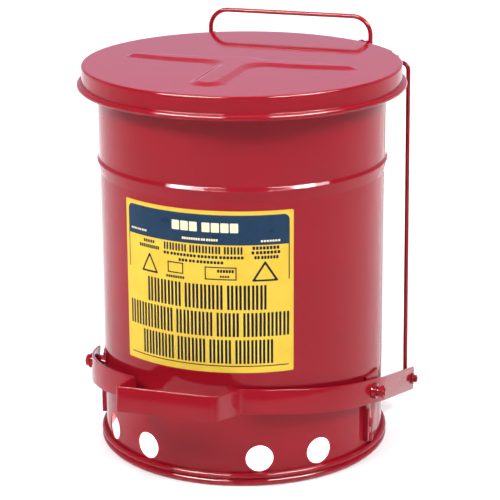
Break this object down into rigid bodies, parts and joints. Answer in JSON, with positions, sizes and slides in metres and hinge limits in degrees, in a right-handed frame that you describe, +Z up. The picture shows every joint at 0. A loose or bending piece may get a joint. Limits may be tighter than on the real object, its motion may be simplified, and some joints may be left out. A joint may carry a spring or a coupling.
{
  "type": "oily waste can",
  "caption": "Round steel waste can for oily rags: a foot lever and lift rod raise its hinged lid, a wire loop stops it, and the floor is raised over side vents.",
  "frame": {"origin": "on the can's axis at floor level, the centre of the foot ring's flat underside", "axes": "+Z up along the can's axis, -Y to the front where the pedal is, +Y to the lid hinge, +X to the can's right side as the viewer in front sees it, where the lift rod is"},
  "size_m": [0.335, 0.373, 0.4235],
  "materials": {
    "red_enamel": "glossy baked powder enamel, slight orange peel",
    "zinc_steel": "zinc-plated steel",
    "label_film": "printed vinyl film, satin"
  },
  "bodies": {
    "can": {"body_shell": "red_enamel", "floor_pan": "red_enamel", "base_ring": "red_enamel", "rim_wire": "zinc_steel", "label": "label_film", "pivot_bracket_right": "red_enamel", "pivot_bracket_left": "red_enamel", "bracket_rivets": "red_enamel", "pivot_stud_right": "red_enamel", "pivot_stud_left": "red_enamel", "pivot_spacer": "red_enamel", "pivot_washers": "red_enamel", "pivot_nuts": "red_enamel", "hinge_bracket": "red_enamel", "hinge_bracket_rivets": "red_enamel", "hinge_pin": "zinc_steel", "stop_loop": "red_enamel"},
    "lid": {"lid_panel": "red_enamel", "lid_hinge_strap": "red_enamel", "lid_strap_rivets": "red_enamel"},
    "foot_lever": {"foot_lever": "red_enamel", "pivot_bush_right": "red_enamel", "pivot_bush_left": "red_enamel"},
    "lift_rod": {"lift_rod": "red_enamel", "rod_lower_washer": "red_enamel", "rod_lower_nut": "red_enamel", "rod_top_washers": "zinc_steel", "rod_top_cap": "zinc_steel"}
  },
  "joints": [
    {"name": "lid_hinge", "type": "hinge", "parent": "can", "child": "lid", "pos_m": [0, 0.17, 0.3875], "axis": [-1, 0, 0], "range_deg": [0, 58]},
    {"name": "lever_pivot", "type": "hinge", "parent": "can", "child": "foot_lever", "pos_m": [0, -0.0355, 0.075], "axis": [1, 0, 0], "range_deg": [0, 18.7]},
    {"name": "rod_pivot", "type": "hinge", "parent": "foot_lever", "child": "lift_rod", "pos_m": [0.1563, 0.11, 0.0365], "axis": [-1, 0, 0], "range_deg": [0, 22.7]}
  ],
  "couplings": [
    {"joint": "lever_pivot", "follows": "lid_hinge", "ratio": 0.32},
    {"joint": "rod_pivot", "follows": "lid_hinge", "ratio": 0.388}
  ]
}
